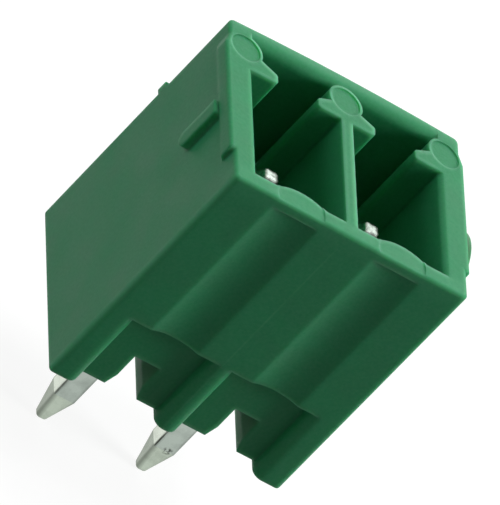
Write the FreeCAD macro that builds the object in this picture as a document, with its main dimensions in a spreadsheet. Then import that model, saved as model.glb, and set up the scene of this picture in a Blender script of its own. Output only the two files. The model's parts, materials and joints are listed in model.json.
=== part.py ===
import FreeCAD, Part
import os
import re

import Sketcher

# Two-position vertical board header: one moulded housing and two straight square pins.
# Frame: z = 0 is the board, +Z points out of the mouth, X runs along the pins.
# The fluted wall with the legs faces -Y, and the wall behind the T ribs faces +Y.

SIZES = {
    # moulding, outside
    "pitch": 3.81,
    "body_width": 8.76,
    "body_height": 9.73,
    "front_depth": 2.9,
    "back_depth": 4.41,
    "back_crown": 0.14,
    "corner_round": 0.16,
    "back_corner_round": 0.2,
    "rim_round": 0.1,
    # chambers
    "side_wall": 0.82,
    "front_wall": 0.56,
    "back_wall": 0.5,
    "divider": 0.43,
    "floor_height": 3.5,
    "bulge_half": 0.92,
    "bulge_rise": 0.28,
    "lead_in": 0.34,
    "mouth_chamfer": 0.13,
    # T ribs, placed from the inside of the back wall
    "head_gap": 0.59,
    "head_root": 0.88,
    "head_tip": 0.38,
    "head_reach": 1.08,
    "slot_width": 1.54,
    "head_round": 0.1,
    "neck_radius": 0.63,
    "neck_inset": 0.56,
    "end_neck_inset": 0.58,
    "ejector_radius": 0.54,
    "ejector_depth": 0.04,
    # flutes on the front wall
    "flute_half": 0.87,
    "flute_depth": 0.2,
    "flute_land": 0.4,
    "pad_radius": 0.88,
    "pad_depth": 0.03,
    # legs, recesses and solder channels
    "middle_leg": 0.83,
    "outer_leg": 1.04,
    "leg_round": 0.36,
    "foot_round": 0.1,
    "recess_height": 3.18,
    "recess_depth": 0.57,
    "standoff": 0.18,
    "channel_width": 0.95,
    "channel_shift": 0.15,
    "channel_height": 1.6,
    "channel_back": 0.7,
    "channel_flare": 0.13,
    "flare_height": 0.5,
    # lips along the mouth and features of the two sides
    "lip_reach": 0.15,
    "lip_height": 0.67,
    "lip_front": 1.62,
    "lip_back_gap": 1.12,
    "lip_ramp": 0.45,
    "rib_near": 0.41,
    "rib_width": 0.56,
    "rib_reach": 0.27,
    "rib_length": 1.8,
    "side_boss_radius": 1.54,
    "side_boss_reach": 0.47,
    "side_boss_place": 0.1,
    "side_boss_drop": 0.26,
    # lower back slab and ridge
    "slab_height": 6.0,
    "slab_growth": 0.03,
    "ridge_height": 0.45,
    "ridge_growth": 0.11,
    "ridge_round": 0.08,
    # pins
    "pin_width": 0.78,
    "pin_edge_round": 0.05,
    "mating_height": 8.35,
    "mating_taper": 0.4,
    "mating_tip": 0.46,
    "tail_length": 3.73,
    "tail_taper": 1.25,
    "tail_tip": 0.38,
    "tip_edge_round": 0.14,
    "nose_round": 0.09,
}

NEAR = 1e-4

doc = FreeCAD.newDocument("board_header")


def make_sheet():
    """The driving sizes, one named cell each."""
    sheet = doc.addObject("Spreadsheet::Sheet", "Sizes")
    for row, (name, value) in enumerate(SIZES.items(), start=1):
        sheet.set(f"A{row}", name.replace("_", " "))
        sheet.set(f"B{row}", str(value))
        sheet.setAlias(f"B{row}", name)
    doc.recompute()
    return sheet


sheet = make_sheet()


def bound(text):
    """An expression in which each size name is read from the sheet."""
    return re.sub("[a-z_]+", lambda found: f"Sizes.{found[0]}" if found[0] in SIZES else found[0], text)


def value_of(text):
    """The number that an expression of size names gives now."""
    total = sheet.evalExpression(bound(text))
    return float(getattr(total, "Value", total))


class Outline:
    """A fully constrained sketch on one of its body's own origin planes.

    Places and radii are expressions of size names, so the outline follows the sheet."""

    def __init__(self, body, name, plane="XY", level="0"):
        self.sketch = body.newObject("Sketcher::SketchObject", name)
        origin = [f for f in body.Origin.OriginFeatures if f.Role == f"{plane}_Plane"][0]
        self.sketch.AttachmentSupport = [(origin, "")]
        self.sketch.MapMode = "FlatFace"
        self.sketch.setExpression("AttachmentOffset.Base.z", bound(level))

    def tie(self, kind, where, text):
        """Adds one dimension and binds it to an expression."""
        index = self.sketch.addConstraint(Sketcher.Constraint(kind, *where, value_of(text)))
        self.sketch.setExpression(f"Constraints[{index}]", bound(text))

    def place(self, geometry, point, x, y):
        """Ties a point to the origin; a coordinate of None stays free."""
        for kind, text in (("DistanceX", x), ("DistanceY", y)):
            if text is None:
                continue
            if value_of(text) < 0:
                self.tie(kind, (geometry, point, -1, 1), f"-({text})")
            else:
                self.tie(kind, (-1, 1, geometry, point), text)

    def number_of(self, edge, start):
        """1 where an edge starts at the given place, or 2 where it was kept reversed."""
        return 1 if self.sketch.getPoint(edge, 1).distanceToPoint(start) < NEAR else 2

    def circle(self, x, y, radius):
        """A circle by centre and radius."""
        drawn = Part.Circle(spot(x, y), FreeCAD.Vector(0, 0, 1), value_of(radius))
        geometry = self.sketch.addGeometry(drawn, False)
        self.place(geometry, 3, x, y)
        self.tie("Radius", (geometry,), radius)
        return self.sketch

    def path(self, steps):
        """A closed path; each step is a line or an arc that starts where the step says."""
        starts = [spot(*step["guess"]) for step in steps]
        edges = []
        for step, start, end in zip(steps, starts, starts[1:] + starts[:1]):
            if "via" in step:
                drawn = Part.Arc(start, spot(*step["via"]), end)
            else:
                drawn = Part.LineSegment(start, end)
            edges.append(self.sketch.addGeometry(drawn, False))
        first = [self.number_of(edge, start) for edge, start in zip(edges, starts)]
        for here, after in zip(range(len(edges)), list(range(1, len(edges))) + [0]):
            joint = (edges[here], 3 - first[here], edges[after], first[after])
            self.sketch.addConstraint(Sketcher.Constraint("Coincident", *joint))
        for edge, point, step in zip(edges, first, steps):
            self.place(edge, point, *step["start"])
            if "via" in step:
                self.place(edge, 3, *step["centre"])
                self.tie("Radius", (edge,), step["radius"])
        return self.sketch

    def loop(self, *corners):
        """A closed run of straight edges through corners."""
        return self.path([line(x, y) for x, y in corners])

    def rectangle(self, left, right, low, high):
        """A rectangle by its four sides."""
        return self.loop((left, low), (right, low), (right, high), (left, high))


def spot(x, y):
    """A point of a sketch from two expressions."""
    return FreeCAD.Vector(value_of(x), value_of(y), 0)


def line(x, y, guess=None):
    """A straight step of a path from the given place."""
    return {"start": (x, y), "guess": guess or (x, y)}


def arc(x, y, via, radius, centre=(None, None), guess=None):
    """A round step of a path from the given place, passing through via."""
    return {"start": (x, y), "guess": guess or (x, y), "via": via, "radius": radius, "centre": centre}


def feature(body, kind, name, sketch, length, backwards=False):
    """A Pad, which grows along its sketch's normal, or a Pocket, which cuts against it."""
    made = body.newObject(f"PartDesign::{kind}", name)
    made.Profile = sketch
    made.Type = "Length"
    made.setExpression("Length", bound(length))
    made.Reversed = backwards
    body.Tip = made
    doc.recompute()
    return made


def mirrored(body, name, *features):
    """Copies features to the other side of the plane x = 0."""
    made = body.newObject("PartDesign::Mirrored", name)
    made.Originals = list(features)
    plane = [f for f in body.Origin.OriginFeatures if f.Role == "YZ_Plane"][0]
    made.MirrorPlane = (plane, [""])
    body.Tip = made
    doc.recompute()
    return made


def dressed(body, kind, name, amount, wanted):
    """A Fillet or Chamfer on those edges of the body that the test wanted picks."""
    base = body.Tip
    edges = [f"Edge{n}" for n, edge in enumerate(base.Shape.Edges, start=1) if wanted(edge)]
    if not edges:
        raise RuntimeError(f"{name} finds no edge")
    made = body.newObject(f"PartDesign::{kind}", name)
    made.Base = (base, edges)
    made.setExpression("Radius" if kind == "Fillet" else "Size", bound(amount))
    body.Tip = made
    doc.recompute()
    return made


def lies(edge, x=None, y=None, z=None):
    """True where the whole edge keeps the given distance from each plane named; x counts on both sides."""
    box = edge.BoundBox
    spans = ((x, box.XMin, box.XMax), (y, box.YMin, box.YMax), (z, box.ZMin, box.ZMax))
    for wanted, low, high in spans:
        if wanted is None:
            continue
        place = value_of(wanted)
        if high - low > NEAR:
            return False
        if abs(low - place) > NEAR and not (wanted is x and abs(low + place) < NEAR):
            return False
    return True


HALF = "body_width / 2"
INNER = "(body_width / 2 - side_wall)"
FRONT_INNER = "-(front_depth - front_wall)"
BACK_INNER = "(back_depth - back_wall)"
HEAD_FAR = "(back_depth - back_wall - head_gap)"
HEAD_NEAR = "(back_depth - back_wall - head_gap - head_root)"
HEAD_TIP = "(back_depth - back_wall - head_gap - head_root + head_tip)"
HEAD_END = "(head_reach + slot_width)"
NECK_PLACE = "(back_depth - back_wall - neck_inset)"
END_NECK = "(body_width / 2 - end_neck_inset)"
RAIL_INNER = "(body_width / 2 - outer_leg)"
LIP_LEVEL = "(body_height - lip_height)"
LIP_BACK = "(back_depth - lip_back_gap)"
PIN_ROW = "pitch / 2"


def crowned_outline(body, name, level, growth, front):
    """The housing seen from the mouth, from a front line to its slightly crowned back."""
    back = f"back_depth + {growth}"
    chord = "(body_width ^ 2 / 4 + back_crown ^ 2) / (2 * back_crown)"
    return Outline(body, name, level=level).path([
        line(f"-{HALF}", front),
        line(HALF, front),
        arc(HALF, back, ("0", f"{back} + back_crown"), chord),
        line(f"-{HALF}", back),
    ])


def chamber_outline(body):
    """One chamber: the space before the rib heads, the slot between two of them and the space behind them."""
    return Outline(body, "ChamberOutline", level="body_height").loop(
        ("divider / 2", FRONT_INNER),
        (INNER, FRONT_INNER),
        (INNER, HEAD_NEAR),
        (HEAD_END, HEAD_NEAR),
        (HEAD_END, HEAD_TIP),
        (INNER, HEAD_FAR),
        (INNER, BACK_INNER),
        ("0", BACK_INNER),
        ("0", HEAD_FAR),
        ("head_reach", HEAD_TIP),
        ("head_reach", HEAD_NEAR),
        ("divider / 2", HEAD_NEAR),
    )


def add_block(body):
    """The outer block with its lower back slab and the ridge above it."""
    block = crowned_outline(body, "BlockOutline", "0", "0", "-front_depth")
    feature(body, "Pad", "Block", block, "body_height")
    dressed(body, "Fillet", "FrontCorners", "corner_round", lambda e: lies(e, x=HALF, y="-front_depth"))
    dressed(body, "Fillet", "BackCorners", "back_corner_round", lambda e: lies(e, x=HALF, y="back_depth"))
    slab = crowned_outline(body, "SlabOutline", "0", "slab_growth", "0")
    feature(body, "Pad", "BackSlab", slab, "slab_height")
    dressed(body, "Fillet", "SlabCorners", "back_corner_round",
            lambda e: lies(e, x=HALF, y="back_depth + slab_growth"))
    ridge = crowned_outline(body, "RidgeOutline", "slab_height", "ridge_growth", "0")
    feature(body, "Pad", "Ridge", ridge, "ridge_height")
    crest = value_of("back_depth + ridge_growth / 2")
    dressed(body, "Fillet", "RidgeRound", "ridge_round",
            lambda e: lies(e, z="slab_height + ridge_height") and e.BoundBox.YMin > crest)


def add_sides(body):
    """The lips along the mouth, the rib on the left side and the round boss on the right."""
    lip = Outline(body, "LipOutline", level=LIP_LEVEL).loop(
        (f"{HALF} - side_wall / 2", "-lip_front"),
        (f"{HALF} + lip_reach", "-lip_front"),
        (f"{HALF} + lip_reach", LIP_BACK),
        (HALF, f"{LIP_BACK} + lip_ramp"),
        (f"{HALF} - side_wall / 2", f"{LIP_BACK} + lip_ramp"),
    )
    mirrored(body, "Lips", feature(body, "Pad", "Lip", lip, "lip_height"))
    dressed(body, "Chamfer", "LipSlope", "0.9 * lip_reach",
            lambda e: lies(e, x=f"{HALF} + lip_reach", z=LIP_LEVEL))

    low = f"{LIP_LEVEL} - rib_length + rib_width / 2"
    middle = "rib_near + rib_width / 2"
    rib = Outline(body, "RibOutline", "YZ", f"-{HALF}").path([
        arc(None, low, (middle, f"{low} - rib_width / 2"), "rib_width / 2",
            centre=(middle, low), guess=("rib_near", low)),
        line(None, low, ("rib_near + rib_width", low)),
        line("rib_near + rib_width", f"{LIP_LEVEL} + lip_reach / 2"),
        line("rib_near", f"{LIP_LEVEL} + lip_reach / 2"),
    ])
    feature(body, "Pad", "Rib", rib, "rib_reach", backwards=True)

    boss = Outline(body, "SideBossOutline", "YZ", HALF).circle(
        "side_boss_place", "body_height - side_boss_drop - side_boss_radius", "side_boss_radius")
    feature(body, "Pad", "SideBoss", boss, "side_boss_reach")


def cut_chambers(body):
    """Both chambers, with chamfered side walls and a rounded lead-in at the back wall."""
    dressed(body, "Fillet", "RimRound", "rim_round", lambda e: lies(e, z="body_height"))
    chamber = feature(body, "Pocket", "Chamber", chamber_outline(body), "body_height - floor_height")
    mirrored(body, "Chambers", chamber)
    dressed(body, "Fillet", "HeadCorners", "head_round",
            lambda e: any(lies(e, x=x, y=y) for x in (HEAD_END, "head_reach") for y in (HEAD_NEAR, HEAD_TIP)))
    dressed(body, "Chamfer", "MouthChamfer", "mouth_chamfer",
            lambda e: lies(e, x=INNER, z="body_height") and e.BoundBox.YMin < 0)
    dressed(body, "Fillet", "LeadIn", "lead_in", lambda e: lies(e, y=BACK_INNER, z="body_height"))


def add_bulges(body):
    """The front wall's round bulges into the chambers, behind the flutes."""
    radius = "(bulge_half ^ 2 + bulge_rise ^ 2) / (2 * bulge_rise)"
    inside = f"{FRONT_INNER} - front_wall / 2"
    bulge = Outline(body, "BulgeOutline", level="floor_height").path([
        arc(f"{PIN_ROW} - bulge_half", FRONT_INNER, (PIN_ROW, f"{FRONT_INNER} + bulge_rise"), radius),
        line(f"{PIN_ROW} + bulge_half", FRONT_INNER),
        line(f"{PIN_ROW} + bulge_half", inside),
        line(f"{PIN_ROW} - bulge_half", inside),
    ])
    mirrored(body, "Bulges", feature(body, "Pad", "Bulge", bulge, "body_height - floor_height"))


def add_necks(body):
    """The round necks that carry the rib heads on the back wall."""
    depth = "body_height - floor_height"
    middle = Outline(body, "MiddleNeckOutline", level="floor_height")
    middle.circle("0", NECK_PLACE, "neck_radius")
    feature(body, "Pad", "MiddleNeck", middle.sketch, depth)
    end = Outline(body, "EndNeckOutline", level="floor_height").path([
        arc(END_NECK, None, (f"{END_NECK} - neck_radius", NECK_PLACE), "neck_radius",
            (END_NECK, NECK_PLACE), (END_NECK, f"{NECK_PLACE} + neck_radius")),
        line(END_NECK, None, (END_NECK, f"{NECK_PLACE} - neck_radius")),
    ])
    mirrored(body, "EndNecks", feature(body, "Pad", "EndNeck", end, depth))


def cut_marks(body):
    """Shallow ejector marks on the three necks and on the front rim."""
    middle = Outline(body, "MiddleMark", level="body_height").circle("0", NECK_PLACE, "ejector_radius")
    feature(body, "Pocket", "MiddleEjector", middle, "ejector_depth")
    end = Outline(body, "EndMark", level="body_height").circle(END_NECK, NECK_PLACE, "ejector_radius")
    end_ejector = feature(body, "Pocket", "EndEjector", end, "ejector_depth")
    wall_middle = f"{FRONT_INNER} - front_wall / 2"
    pad = Outline(body, "PadMark", level="body_height").circle(PIN_ROW, wall_middle, "pad_radius")
    pad_ejector = feature(body, "Pocket", "PadEjector", pad, "pad_depth")
    mirrored(body, "OuterMarks", end_ejector, pad_ejector)


def cut_front(body):
    """The flutes, the recesses between the legs and the pin holes."""
    arc_radius = "(flute_half ^ 2 + flute_depth ^ 2) / (2 * flute_depth)"
    flute = Outline(body, "FluteOutline", level="body_height - flute_land").circle(
        PIN_ROW, f"-(front_depth - flute_depth + {arc_radius})", arc_radius)
    recess = Outline(body, "RecessOutline", level="recess_height").rectangle(
        "middle_leg / 2", RAIL_INNER, "-front_depth", "-(front_depth - recess_depth)")
    gap = Outline(body, "StandoffOutline", level="standoff").rectangle(
        "middle_leg / 2", RAIL_INNER, "-front_depth", "back_depth + slab_growth + back_crown")
    hole = Outline(body, "PinHoleOutline", level="floor_height").rectangle(
        f"{PIN_ROW} - pin_width / 2", f"{PIN_ROW} + pin_width / 2", "-pin_width / 2", "pin_width / 2")
    mirrored(body, "Recesses", feature(body, "Pocket", "Recess", recess, "recess_height"))
    dressed(body, "Fillet", "LegRound", "min(leg_round; middle_leg / 2 - foot_round / 2)",
            lambda e: any(lies(e, x=x, y="-front_depth") for x in ("middle_leg / 2", RAIL_INNER)))
    mirrored(
        body, "FrontCuts",
        feature(body, "Pocket", "Flute", flute, "body_height - flute_land - recess_height / 2"),
        feature(body, "Pocket", "Standoff", gap, "standoff"),
        feature(body, "Pocket", "PinHole", hole, "floor_height"),
    )
    recess_wall = value_of("recess_depth - front_depth")
    dressed(body, "Fillet", "FootRound", "foot_round",
            lambda e: lies(e, z="0") and e.BoundBox.YMax < recess_wall + NEAR)


def cut_channel(body, name, place):
    """A solder channel open to the front and the board, flared at its foot and set a little to the right."""
    left = f"{place} + channel_shift - channel_width / 2"
    right = f"{place} + channel_shift + channel_width / 2"
    channel = Outline(body, f"{name}Outline", "XZ", "front_depth").loop(
        (f"{left} - channel_flare", "0"),
        (f"{right} + channel_flare", "0"),
        (f"{right} + channel_flare", "standoff"),
        (right, "standoff + flare_height"),
        (right, "channel_height"),
        (left, "channel_height"),
        (left, "standoff + flare_height"),
        (f"{left} - channel_flare", "standoff"),
    )
    feature(body, "Pocket", name, channel, "front_depth + channel_back")


def make_housing():
    """The moulded housing."""
    body = doc.addObject("PartDesign::Body", "housing")
    body.Label = "housing"
    add_block(body)
    add_sides(body)
    cut_chambers(body)
    add_bulges(body)
    add_necks(body)
    cut_marks(body)
    cut_front(body)
    cut_channel(body, "LeftChannel", f"-{PIN_ROW}")
    cut_channel(body, "RightChannel", PIN_ROW)
    return body


def square(body, name, level, width, rounding):
    """A section of a pin: a square with rounded corners."""
    side = f"({width} / 2)"
    flat = f"({width} / 2 - {rounding})"
    bend = f"({width} / 2 - {rounding} * (1 - sqrt(0.5)))"
    steps = []
    for x, y in ((1, -1), (1, 1), (-1, 1), (-1, -1)):
        first, second = (flat, side) if x * y < 0 else (side, flat)
        steps.append(arc(f"{x} * {first}", f"{y} * {second}", (f"{x} * {bend}", f"{y} * {bend}"), rounding))
        steps.append(line(f"{x} * {second}", f"{y} * {first}"))
    return Outline(body, name, level=level).path(steps)


def taper(body, name, start, end):
    """A four-sided point from one section to the next."""
    made = body.newObject("PartDesign::AdditiveLoft", name)
    made.Profile = start
    made.Sections = [end]
    made.Ruled = True
    body.Tip = made
    doc.recompute()
    return made


def make_pin(number, place):
    """A straight square pin with rounded edges, tapered to a blunt nose at the tail and at the mating end."""
    name = f"contact_pin_{number}"
    body = doc.addObject("PartDesign::Body", name)
    body.Label = name
    shoulder = "-(tail_length - tail_taper)"
    neck = "(mating_height - mating_taper)"
    shank = square(body, f"Section{number}", shoulder, "pin_width", "pin_edge_round")
    feature(body, "Pad", f"Shank{number}", shank, f"tail_length - tail_taper + {neck}")
    taper(body, f"MatingEnd{number}",
          square(body, f"NeckSection{number}", neck, "pin_width", "pin_edge_round"),
          square(body, f"TipSection{number}", "mating_height", "mating_tip", "tip_edge_round"))
    taper(body, f"Tail{number}",
          square(body, f"ShoulderSection{number}", shoulder, "pin_width", "pin_edge_round"),
          square(body, f"TailSection{number}", "-tail_length", "tail_tip", "tip_edge_round"))
    dressed(body, "Fillet", f"Noses{number}", "nose_round",
            lambda e: lies(e, z="-tail_length") or lies(e, z="mating_height"))
    body.setExpression("Placement.Base.x", bound(place))
    return body


def check(bodies):
    """Stops if any object failed or any sub-part is not one sound solid."""
    doc.recompute()
    for thing in doc.Objects:
        if "Invalid" in thing.State or "Error" in thing.State:
            raise RuntimeError(f"{thing.Name} failed")
    for body in bodies:
        shape = body.Shape
        if shape.isNull() or not shape.isValid() or len(shape.Solids) != 1:
            raise RuntimeError(f"{body.Label} is not one sound solid")


def write(bodies):
    """Writes each sub-part under its label."""
    os.makedirs("parts", exist_ok=True)
    for body in bodies:
        body.Shape.exportStep(f"parts/{body.Label}.step")
        box = body.Shape.BoundBox
        print(body.Label, round(body.Shape.Volume, 3), [round(v, 3) for v in (
            box.XMin, box.YMin, box.ZMin, box.XMax, box.YMax, box.ZMax)])


bodies = [make_housing()]
for number, place in ((1, f"-{PIN_ROW}"), (2, PIN_ROW)):
    bodies.append(make_pin(number, place))
check(bodies)
write(bodies)
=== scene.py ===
import json
import math

import bpy
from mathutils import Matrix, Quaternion, Vector


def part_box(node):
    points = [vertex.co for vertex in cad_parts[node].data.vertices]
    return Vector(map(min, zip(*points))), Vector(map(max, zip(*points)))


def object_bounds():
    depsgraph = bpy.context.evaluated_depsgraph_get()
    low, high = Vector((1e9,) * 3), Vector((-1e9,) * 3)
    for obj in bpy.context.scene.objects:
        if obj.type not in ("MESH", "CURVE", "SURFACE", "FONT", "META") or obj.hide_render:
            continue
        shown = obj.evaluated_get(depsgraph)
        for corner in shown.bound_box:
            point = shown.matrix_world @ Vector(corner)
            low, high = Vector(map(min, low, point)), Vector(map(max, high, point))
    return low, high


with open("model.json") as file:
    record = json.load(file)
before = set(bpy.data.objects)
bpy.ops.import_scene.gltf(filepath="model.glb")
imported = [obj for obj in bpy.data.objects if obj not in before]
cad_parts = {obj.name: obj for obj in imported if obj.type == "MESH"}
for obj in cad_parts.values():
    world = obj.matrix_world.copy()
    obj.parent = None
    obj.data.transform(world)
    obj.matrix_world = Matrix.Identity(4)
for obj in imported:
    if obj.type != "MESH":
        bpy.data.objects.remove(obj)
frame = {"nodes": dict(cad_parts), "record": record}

# Two-position vertical board header: a moulded green housing on two tin-plated square pins.
# Frame: z = 0 is the board, +Z points out of the mouth, X runs along the pins, in metres.

CAD_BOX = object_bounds()
PIN_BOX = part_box("contact_pin_2")
MM = 0.001

# camera, as the photograph was taken: turns in degrees, the aim in the part's frame, the film in millimetres
HEADING = 29.102
ELEVATION = 31.645
ROLL = 44.201
AIM = Vector((-0.3557, 0.4171, 5.1107)) * MM
DISTANCE = 419.94 * MM
SENSOR = 36.0
LENS = 986.80

# lamps: the way each lies from the part, its distance and width, and how bright it makes a white card
LAMPS = {
    "overhead": ((0.05, 0.20, 1.0), 0.40, 0.28, 0.50),
    "left": ((-1.0, 0.10, 0.10), 0.40, 0.22, 0.26),
    "right": ((1.0, -0.28, 0.50), 0.45, 0.20, 0.54),
    "back_rim_sheen": ((0.42, 0.74, 0.52), 0.45, 0.32, 0.22),
}
AMBIENT = 0.09

# floor: half its width, how far it lies under the tails, and how bright it shows itself
FLOOR_HALF = 0.6
FLOOR_GAP = 0.02 * MM
FLOOR_GLOW = 0.88

# colours
GREEN = (0.028, 0.300, 0.121, 1.0)
GREEN_DARK = (0.024, 0.268, 0.106, 1.0)
# pale green of the specks and the witness line, and of the painted highlights on edges and rims
GREEN_PALE = (0.170, 0.520, 0.310, 1.0)
# painted shade: a darker grey-green for the side boss
BOSS_SHADE = (0.095, 0.200, 0.110, 1.0)
# painted reflection: tin bright on the faces along X and grey on those along Y, and darker along X on the point
TIN_PAINTED_BRIGHT = (0.70, 0.76, 0.66, 1.0)
POINT_PAINTED_DARK = (0.30, 0.35, 0.28, 1.0)
TIN_PAINTED_GREY = (0.40, 0.46, 0.41, 1.0)
POINT_PAINTED_GREY = (0.46, 0.53, 0.44, 1.0)
TARNISH = (0.035, 0.040, 0.032, 1.0)
PAPER = (0.23, 0.23, 0.23, 1.0)
PAPER_DARK = (0.20, 0.20, 0.20, 1.0)
WHITE = (1.0, 1.0, 1.0, 1.0)

# sizes of the noises' lumps
MOTTLE = 1.3 * MM
SPECK = 0.11 * MM
SHEEN_PATCH = 0.7 * MM
STREAK = 0.05 * MM
CLOUD = 0.5 * MM
BLOTCH = 0.09 * MM
SPOT = 0.22 * MM
FIBRE = 0.6 * MM
STREAK_STRETCH = 0.12

# places on the housing: the rim, the tops of the legs, the side and front walls, the witness line and how far
# out the side boss is painted darker as painted shade
RIM = CAD_BOX[1].z
LEGS = 3.1 * MM
SIDE = 4.38 * MM
FRONT_WALL = CAD_BOX[0].y + 0.05 * MM
WITNESS_X = -0.12 * MM
BOSS_SHADE_X = 4.56 * MM

# ramps on the housing, each with its start, its end and the share there: the pale green of the witness line,
# the painted highlights on the edges, the rims and the top of the front wall, and the painted shade on the side
# boss
WITNESS_LINE = (0.05 * MM, 0.01 * MM, 0.0, 0.20)
WITNESS_BREAKS = (0.35, 0.65, 0.2, 0.8)
RIM_EDGES = (RIM - 0.28 * MM, RIM - 0.13 * MM, 0.0, 0.45)
LEG_EDGES = (LEGS, LEGS - 0.4 * MM, 0.0, 0.22)
UPRIGHT_EDGES = (SIDE - 0.18 * MM, SIDE, 0.0, 0.5)
UPRIGHT_FRONT = (-2.6 * MM, FRONT_WALL, 0.0, 1.0)
FRONT_RIM = (-2.1 * MM, -2.4 * MM, 0.0, 1.0)
RIM_SHEEN_PATCHES = (0.42, 0.62, 0.0, 0.25)
RIM_SHEEN_TOP = (RIM - 0.25 * MM, RIM - 0.08 * MM, 0.0, 1.0)
FRONT_GLOW = (RIM - 0.80 * MM, RIM - 0.20 * MM, 0.0, 0.12)
BACK_RIM = (3.9 * MM, 4.3 * MM, 0.0, 0.25)
BACK_TOP = (RIM - 0.50 * MM, RIM - 0.10 * MM, 0.0, 1.0)
BOSS_SHADE_SPECKS = (0.3, 0.7, 0.55, 1.0)

# places on the pins: their row, half their width, half the width of a tail's tip, where the tails' points
# start and end, and a nick
PIN_X = (PIN_BOX[0].x + PIN_BOX[1].x) / 2
HALF_PIN = PIN_BOX[1].y
HALF_TIP = 0.19 * MM
SHOULDER = -2.48 * MM
TAIL_TIP = CAD_BOX[0].z
NICK = (2.01 * MM, -HALF_PIN, -2.44 * MM)

# ramps on the pins, each with its start, its end and the value there: half a tail's width, the dark line along
# one edge, the painted shade on the point, the tarnish of the nick, of the mating tip and of the clouds, and how
# round the edges look
TAPER = (SHOULDER, TAIL_TIP, HALF_PIN, HALF_TIP)
EDGE_LINE_WIDTH = (0.035 * MM, 0.05 * MM, 1.0, 0.0)
EDGE_LINE_BREAKS = (0.3, 0.6, 0.6, 1.0)
POINT_SHADE = (0.04 * MM, 0.18 * MM, 0.5, 0.0)
NICK_REACH = (0.20 * MM, 0.08 * MM, 0.0, 1.0)
NICK_BLOTCHES = (0.42, 0.56, 0.0, 0.9)
MATING_TIP = (8.0 * MM, 8.2 * MM, 0.0, 1.0)
TIP_SPOTS = (0.45, 0.62, 0.0, 0.5)
CLOUDED = (0.45, 0.75, 0.0, 0.25)
PIN_ROUNDING = (0.0, 8.0 * MM, 0.06 * MM, 0.18 * MM)

# how wide a marked outer edge is, painted highlight on the housing and darker on the pins, and the light that marks
# it: inside a flat face and inside a sharp edge
EDGE_REACH = 0.20 * MM
PIN_EDGE_REACH = 0.12 * MM
EDGE_LIGHT = (0.97, 0.70)

# the range that noise mostly keeps to
NOISE_RANGE = (0.25, 0.75)

# the Mix node's colour sockets, which share their names with its other sockets
MIX_SHARE, MIX_FIRST, MIX_SECOND, MIX_RESULT = 0, 6, 7, 2


class Shading:
    """Short ways to add and join the nodes of one material or world."""

    def __init__(self, owner):
        owner.use_nodes = True
        self.tree = owner.node_tree

    def add(self, kind, **inputs):
        """A node whose named inputs are numbers, colours or other nodes' outputs."""
        made = self.tree.nodes.new(f"ShaderNode{kind}")
        for name, value in inputs.items():
            self.set(made, name.replace("_", " "), value)
        return made

    def set(self, node, name, value):
        """Gives one input a value or a link."""
        if isinstance(value, bpy.types.NodeSocket):
            self.tree.links.new(value, node.inputs[name])
        else:
            node.inputs[name].default_value = value

    def surface(self, **inputs):
        """Sets the named inputs of the material's shader."""
        for name, value in inputs.items():
            self.set(self.tree.nodes["Principled BSDF"], name.replace("_", " "), value)

    def place(self):
        """Where a point is on the part, and its three coordinates."""
        at = self.add("TexCoord").outputs["Object"]
        return at, self.add("SeparateXYZ", Vector=at).outputs

    def facing(self, axis):
        """How squarely the surface faces along an axis, either way."""
        normal = self.add("SeparateXYZ", Vector=self.add("NewGeometry").outputs["Normal"])
        return self.number("ABSOLUTE", normal.outputs[axis])

    def distance(self, place, point):
        """How far a place is from a fixed point."""
        made = self.add("VectorMath")
        made.operation = "DISTANCE"
        self.set(made, 0, place)
        self.set(made, 1, point)
        return made.outputs["Value"]

    def noise(self, place, size, detail=3.0):
        """Noise whose lumps are about so many metres across."""
        return self.add("TexNoise", Vector=place, Scale=1.0 / size, Detail=detail).outputs["Fac"]

    def ramp(self, value, start, end, low=0.0, high=1.0):
        """A number that goes from low to high as a value goes from start to end."""
        made = self.add("MapRange", Value=value, From_Min=start, From_Max=end, To_Min=low, To_Max=high)
        return made.outputs["Result"]

    def spread(self, noise, low, high):
        """Noise brought to the range from low to high."""
        return self.ramp(noise, *NOISE_RANGE, low, high)

    def number(self, operation, first, second=0.0):
        """One number worked out from one or two."""
        made = self.tree.nodes.new("ShaderNodeMath")
        made.operation = operation
        self.set(made, 0, first)
        self.set(made, 1, second)
        return made.outputs["Value"]

    def product(self, first, *others):
        """All the numbers multiplied."""
        for other in others:
            first = self.number("MULTIPLY", first, other)
        return first

    def largest(self, first, *others):
        """The largest of the numbers."""
        for other in others:
            first = self.number("MAXIMUM", first, other)
        return first

    def blend(self, share, first, second):
        """A colour between two."""
        made = self.tree.nodes.new("ShaderNodeMix")
        made.data_type = "RGBA"
        self.set(made, MIX_SHARE, share)
        self.set(made, MIX_FIRST, first)
        self.set(made, MIX_SECOND, second)
        return made.outputs[MIX_RESULT]

    def grain(self, height, depth, radius):
        """The surface normal, rounded over the edges and roughened by a height."""
        rounded = self.add("Bevel", Radius=radius)
        rounded.samples = 6
        rough = self.add("Bump", Height=height, Distance=depth, Strength=0.5, Normal=rounded.outputs["Normal"])
        return rough.outputs["Normal"]

    def corner(self, reach):
        """A share that is 1 on an outer edge and 0 a little beside it."""
        depth = self.add("AmbientOcclusion", Distance=reach)
        depth.inside = True
        depth.only_local = True
        depth.samples = 8
        return self.ramp(depth.outputs["AO"], *EDGE_LIGHT)

    def shown(self):
        """1 for rays that show a thing as it is, straight to the camera, in metal or through glass."""
        path = self.add("LightPath").outputs
        return self.largest(path["Is Camera Ray"], path["Is Glossy Ray"], path["Is Transmission Ray"])


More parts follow.
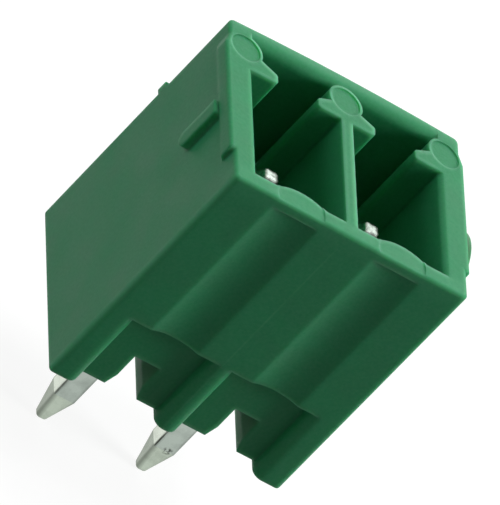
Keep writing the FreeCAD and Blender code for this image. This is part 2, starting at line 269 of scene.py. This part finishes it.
def witness_line_and_highlights(look, place, axes, mottle):
    """The share of the housing's surface that is pale: its witness line, and painted highlights on its edges and
    rims.
    """
    beside = look.number("ABSOLUTE", look.number("SUBTRACT", axes["X"], WITNESS_X))
    line = look.product(look.ramp(beside, *WITNESS_LINE), look.ramp(mottle, *WITNESS_BREAKS),
                        look.number("LESS_THAN", axes["Y"], FRONT_WALL))
    # painted highlight: outer edges near the rim and on the legs, and a band down the front's upright corners, are
    # painted pale
    edges = look.corner(EDGE_REACH)
    rim_edge_highlight = look.product(edges, look.ramp(axes["Z"], *RIM_EDGES), look.number("SUBTRACT", 1.0, look.facing("X")))
    legs = look.product(edges, look.ramp(axes["Z"], *LEG_EDGES))
    upright = look.product(look.ramp(look.number("ABSOLUTE", axes["X"]), *UPRIGHT_EDGES),
                           look.ramp(axes["Y"], *UPRIGHT_FRONT))
    front = look.ramp(axes["Y"], *FRONT_RIM)
    # painted highlight: sheen painted in patches along the top of the front rim
    rim_sheen = look.product(look.ramp(look.noise(place, SHEEN_PATCH, 4.0), *RIM_SHEEN_PATCHES), front,
                          look.ramp(axes["Z"], *RIM_SHEEN_TOP))
    # painted light: a pale band painted at the top of the front wall, for light glowing through from the rim
    front_glow = look.product(look.ramp(axes["Z"], *FRONT_GLOW), front)
    # painted highlight: sheen painted on the top of the back rim
    back_rim_sheen = look.product(look.ramp(axes["Z"], *BACK_TOP), look.ramp(axes["Y"], *BACK_RIM))
    return look.largest(line, rim_edge_highlight, legs, upright, rim_sheen, front_glow, back_rim_sheen)


def green_plastic():
    """Satin moulded polyamide, slightly translucent, mottled and speckled, with painted highlights and a
    painted-shade side boss.
    """
    material = bpy.data.materials.new("green_plastic")
    look = Shading(material)
    place, axes = look.place()
    mottle = look.noise(place, MOTTLE)
    speck = look.noise(place, SPECK)
    colour = look.blend(look.spread(mottle, 0.0, 1.0), GREEN_DARK, GREEN)
    colour = look.blend(look.spread(speck, 0.0, 0.12), colour, GREEN_PALE)
    colour = look.blend(witness_line_and_highlights(look, place, axes, mottle), colour, GREEN_PALE)
    # painted shade: the side boss beyond its x limit is painted a darker grey-green, broken up by specks
    boss_shade = look.product(look.number("GREATER_THAN", axes["X"], BOSS_SHADE_X), look.ramp(speck, *BOSS_SHADE_SPECKS))
    look.surface(
        Base_Color=look.blend(boss_shade, colour, BOSS_SHADE),
        Roughness=look.spread(mottle, 0.40, 0.52),
        Normal=look.grain(speck, depth=0.006 * MM, radius=0.24 * MM),
        Subsurface_Weight=0.8,
        Subsurface_Radius=(0.30, 1.0, 0.50),
        Subsurface_Scale=0.60 * MM,
        Specular_IOR_Level=0.13,
    )
    return material


def dark_places(look, place, axes, streak, point):
    """The share of a pin painted dark: edges and a line on its tail, painted shade on its point, a nick, tip spots.
    """
    across = look.number("SUBTRACT", axes["X"], look.product(look.number("SIGN", axes["X"]), PIN_X))
    from_edge = look.number("ADD", look.largest(across, axes["Y"]), look.ramp(axes["Z"], *TAPER))
    # a dark line painted along one corner edge of each tail above its point, broken up by streaks
    edge_line = look.product(look.ramp(from_edge, *EDGE_LINE_WIDTH), look.number("SUBTRACT", 1.0, point),
                        look.ramp(streak, *EDGE_LINE_BREAKS))
    # painted shade: the point darkened near its corner edge
    shade = look.product(look.ramp(from_edge, *POINT_SHADE), point)
    nick = look.product(look.ramp(look.distance(place, NICK), *NICK_REACH),
                        look.ramp(look.noise(place, BLOTCH), *NICK_BLOTCHES))
    # the tail's outer edges painted darker, broken up by streaks
    dark_edges = look.product(look.corner(PIN_EDGE_REACH), look.spread(streak, 0.2, 0.7))
    tail = look.product(look.largest(edge_line, shade, nick, dark_edges), look.number("LESS_THAN", axes["Z"], 0.0))
    tip = look.product(look.ramp(axes["Z"], *MATING_TIP), look.ramp(look.noise(place, SPOT, 1.0), *TIP_SPOTS))
    return look.largest(tail, tip)


def tin_plate():
    """Tin plating on a pin cut from strip, with painted reflection: faces along X brighter than along Y, darker on
    the point.
    """
    material = bpy.data.materials.new("tin_plate")
    look = Shading(material)
    place, axes = look.place()
    along = look.add("Mapping", Vector=place, Scale=(1.0, 1.0, STREAK_STRETCH)).outputs["Vector"]
    streak = look.noise(along, STREAK, 2.0)
    cloud = look.noise(place, CLOUD)
    # painted reflection: how squarely a face looks along X picks its painted tin colour
    x_facing = look.number("POWER", look.facing("X"), 3.0)
    point = look.number("LESS_THAN", axes["Z"], SHOULDER)
    colour = look.blend(point, look.blend(x_facing, TIN_PAINTED_GREY, TIN_PAINTED_BRIGHT), look.blend(x_facing, POINT_PAINTED_GREY, POINT_PAINTED_DARK))
    colour = look.blend(look.ramp(cloud, *CLOUDED), colour, TARNISH)
    look.surface(
        Base_Color=look.blend(dark_places(look, place, axes, streak, point), colour, TARNISH),
        Metallic=1.0,
        Roughness=look.spread(cloud, 0.18, 0.26),
        Normal=look.grain(streak, depth=0.003 * MM, radius=look.ramp(axes["Z"], *PIN_ROUNDING)),
    )
    return material


def dress():
    """Gives the solids their materials, slot by slot."""
    looks = {"green_plastic": green_plastic(), "tin_plate": tin_plate()}
    for part in frame["record"]["subparts"]:
        node = frame["nodes"][part["node"]]
        for slot in node.material_slots:
            slot.material = looks[part["material_slot"]]


def white_paper():
    """Paper that shows white to the camera and in metal, and keeps the part's shadow."""
    material = bpy.data.materials.new("white_paper")
    look = Shading(material)
    fibre = look.noise(look.place()[0], FIBRE, 4.0)
    look.surface(
        Base_Color=look.blend(fibre, PAPER_DARK, PAPER),
        Roughness=0.9,
        Specular_IOR_Level=0.0,
        Emission_Color=WHITE,
        Emission_Strength=look.product(look.shown(), FLOOR_GLOW),
    )
    return material


def add_floor():
    """A wide plain floor under the tips of the tails."""
    level = CAD_BOX[0].z - FLOOR_GAP
    half = FLOOR_HALF
    mesh = bpy.data.meshes.new("floor")
    corners = [(-half, -half, level), (half, -half, level), (half, half, level), (-half, half, level)]
    mesh.from_pydata(corners, [], [(0, 1, 2, 3)])
    mesh.materials.append(white_paper())
    floor = bpy.data.objects.new("floor", mesh)
    bpy.context.scene.collection.objects.link(floor)


def light_world():
    """White to the camera, in metal and through glass, and a soft grey light on the part."""
    world = bpy.data.worlds.new("studio")
    bpy.context.scene.world = world
    look = Shading(world)
    soft = look.tree.nodes["Background"]
    look.set(soft, "Color", WHITE)
    look.set(soft, "Strength", look.ramp(look.shown(), 0.0, 1.0, AMBIENT, 1.0))


def add_lamp(name, way, distance, width, brightness):
    """A square soft lamp that makes a white card facing it so bright."""
    lamp = bpy.data.lights.new(name, "AREA")
    lamp.size = width
    lamp.energy = brightness * (math.pi * distance) ** 2
    holder = bpy.data.objects.new(name, lamp)
    towards = Vector(way).normalized()
    middle = (CAD_BOX[0] + CAD_BOX[1]) / 2
    holder.location = middle + towards * distance
    holder.rotation_euler = towards.to_track_quat("Z", "Y").to_euler()
    bpy.context.scene.collection.objects.link(holder)


def add_camera():
    """The camera at the photograph's place, rolled as it was."""
    camera = bpy.data.cameras.new("camera")
    camera.sensor_fit = "HORIZONTAL"
    camera.sensor_width = SENSOR
    camera.lens = LENS
    holder = bpy.data.objects.new("camera", camera)
    heading, rise, roll = (math.radians(angle) for angle in (HEADING, ELEVATION, ROLL))
    level = math.cos(rise)
    ahead = Vector((math.sin(heading) * level, math.cos(heading) * level, -math.sin(rise)))
    holder.rotation_mode = "QUATERNION"
    holder.rotation_quaternion = ahead.to_track_quat("-Z", "Y") @ Quaternion((0, 0, 1), roll)
    holder.location = AIM - ahead * DISTANCE
    bpy.context.scene.collection.objects.link(holder)
    bpy.context.scene.camera = holder


dress()
add_floor()
light_world()
for name, placing in LAMPS.items():
    add_lamp(name, *placing)
add_camera()
bpy.context.scene.view_settings.view_transform = "Standard"
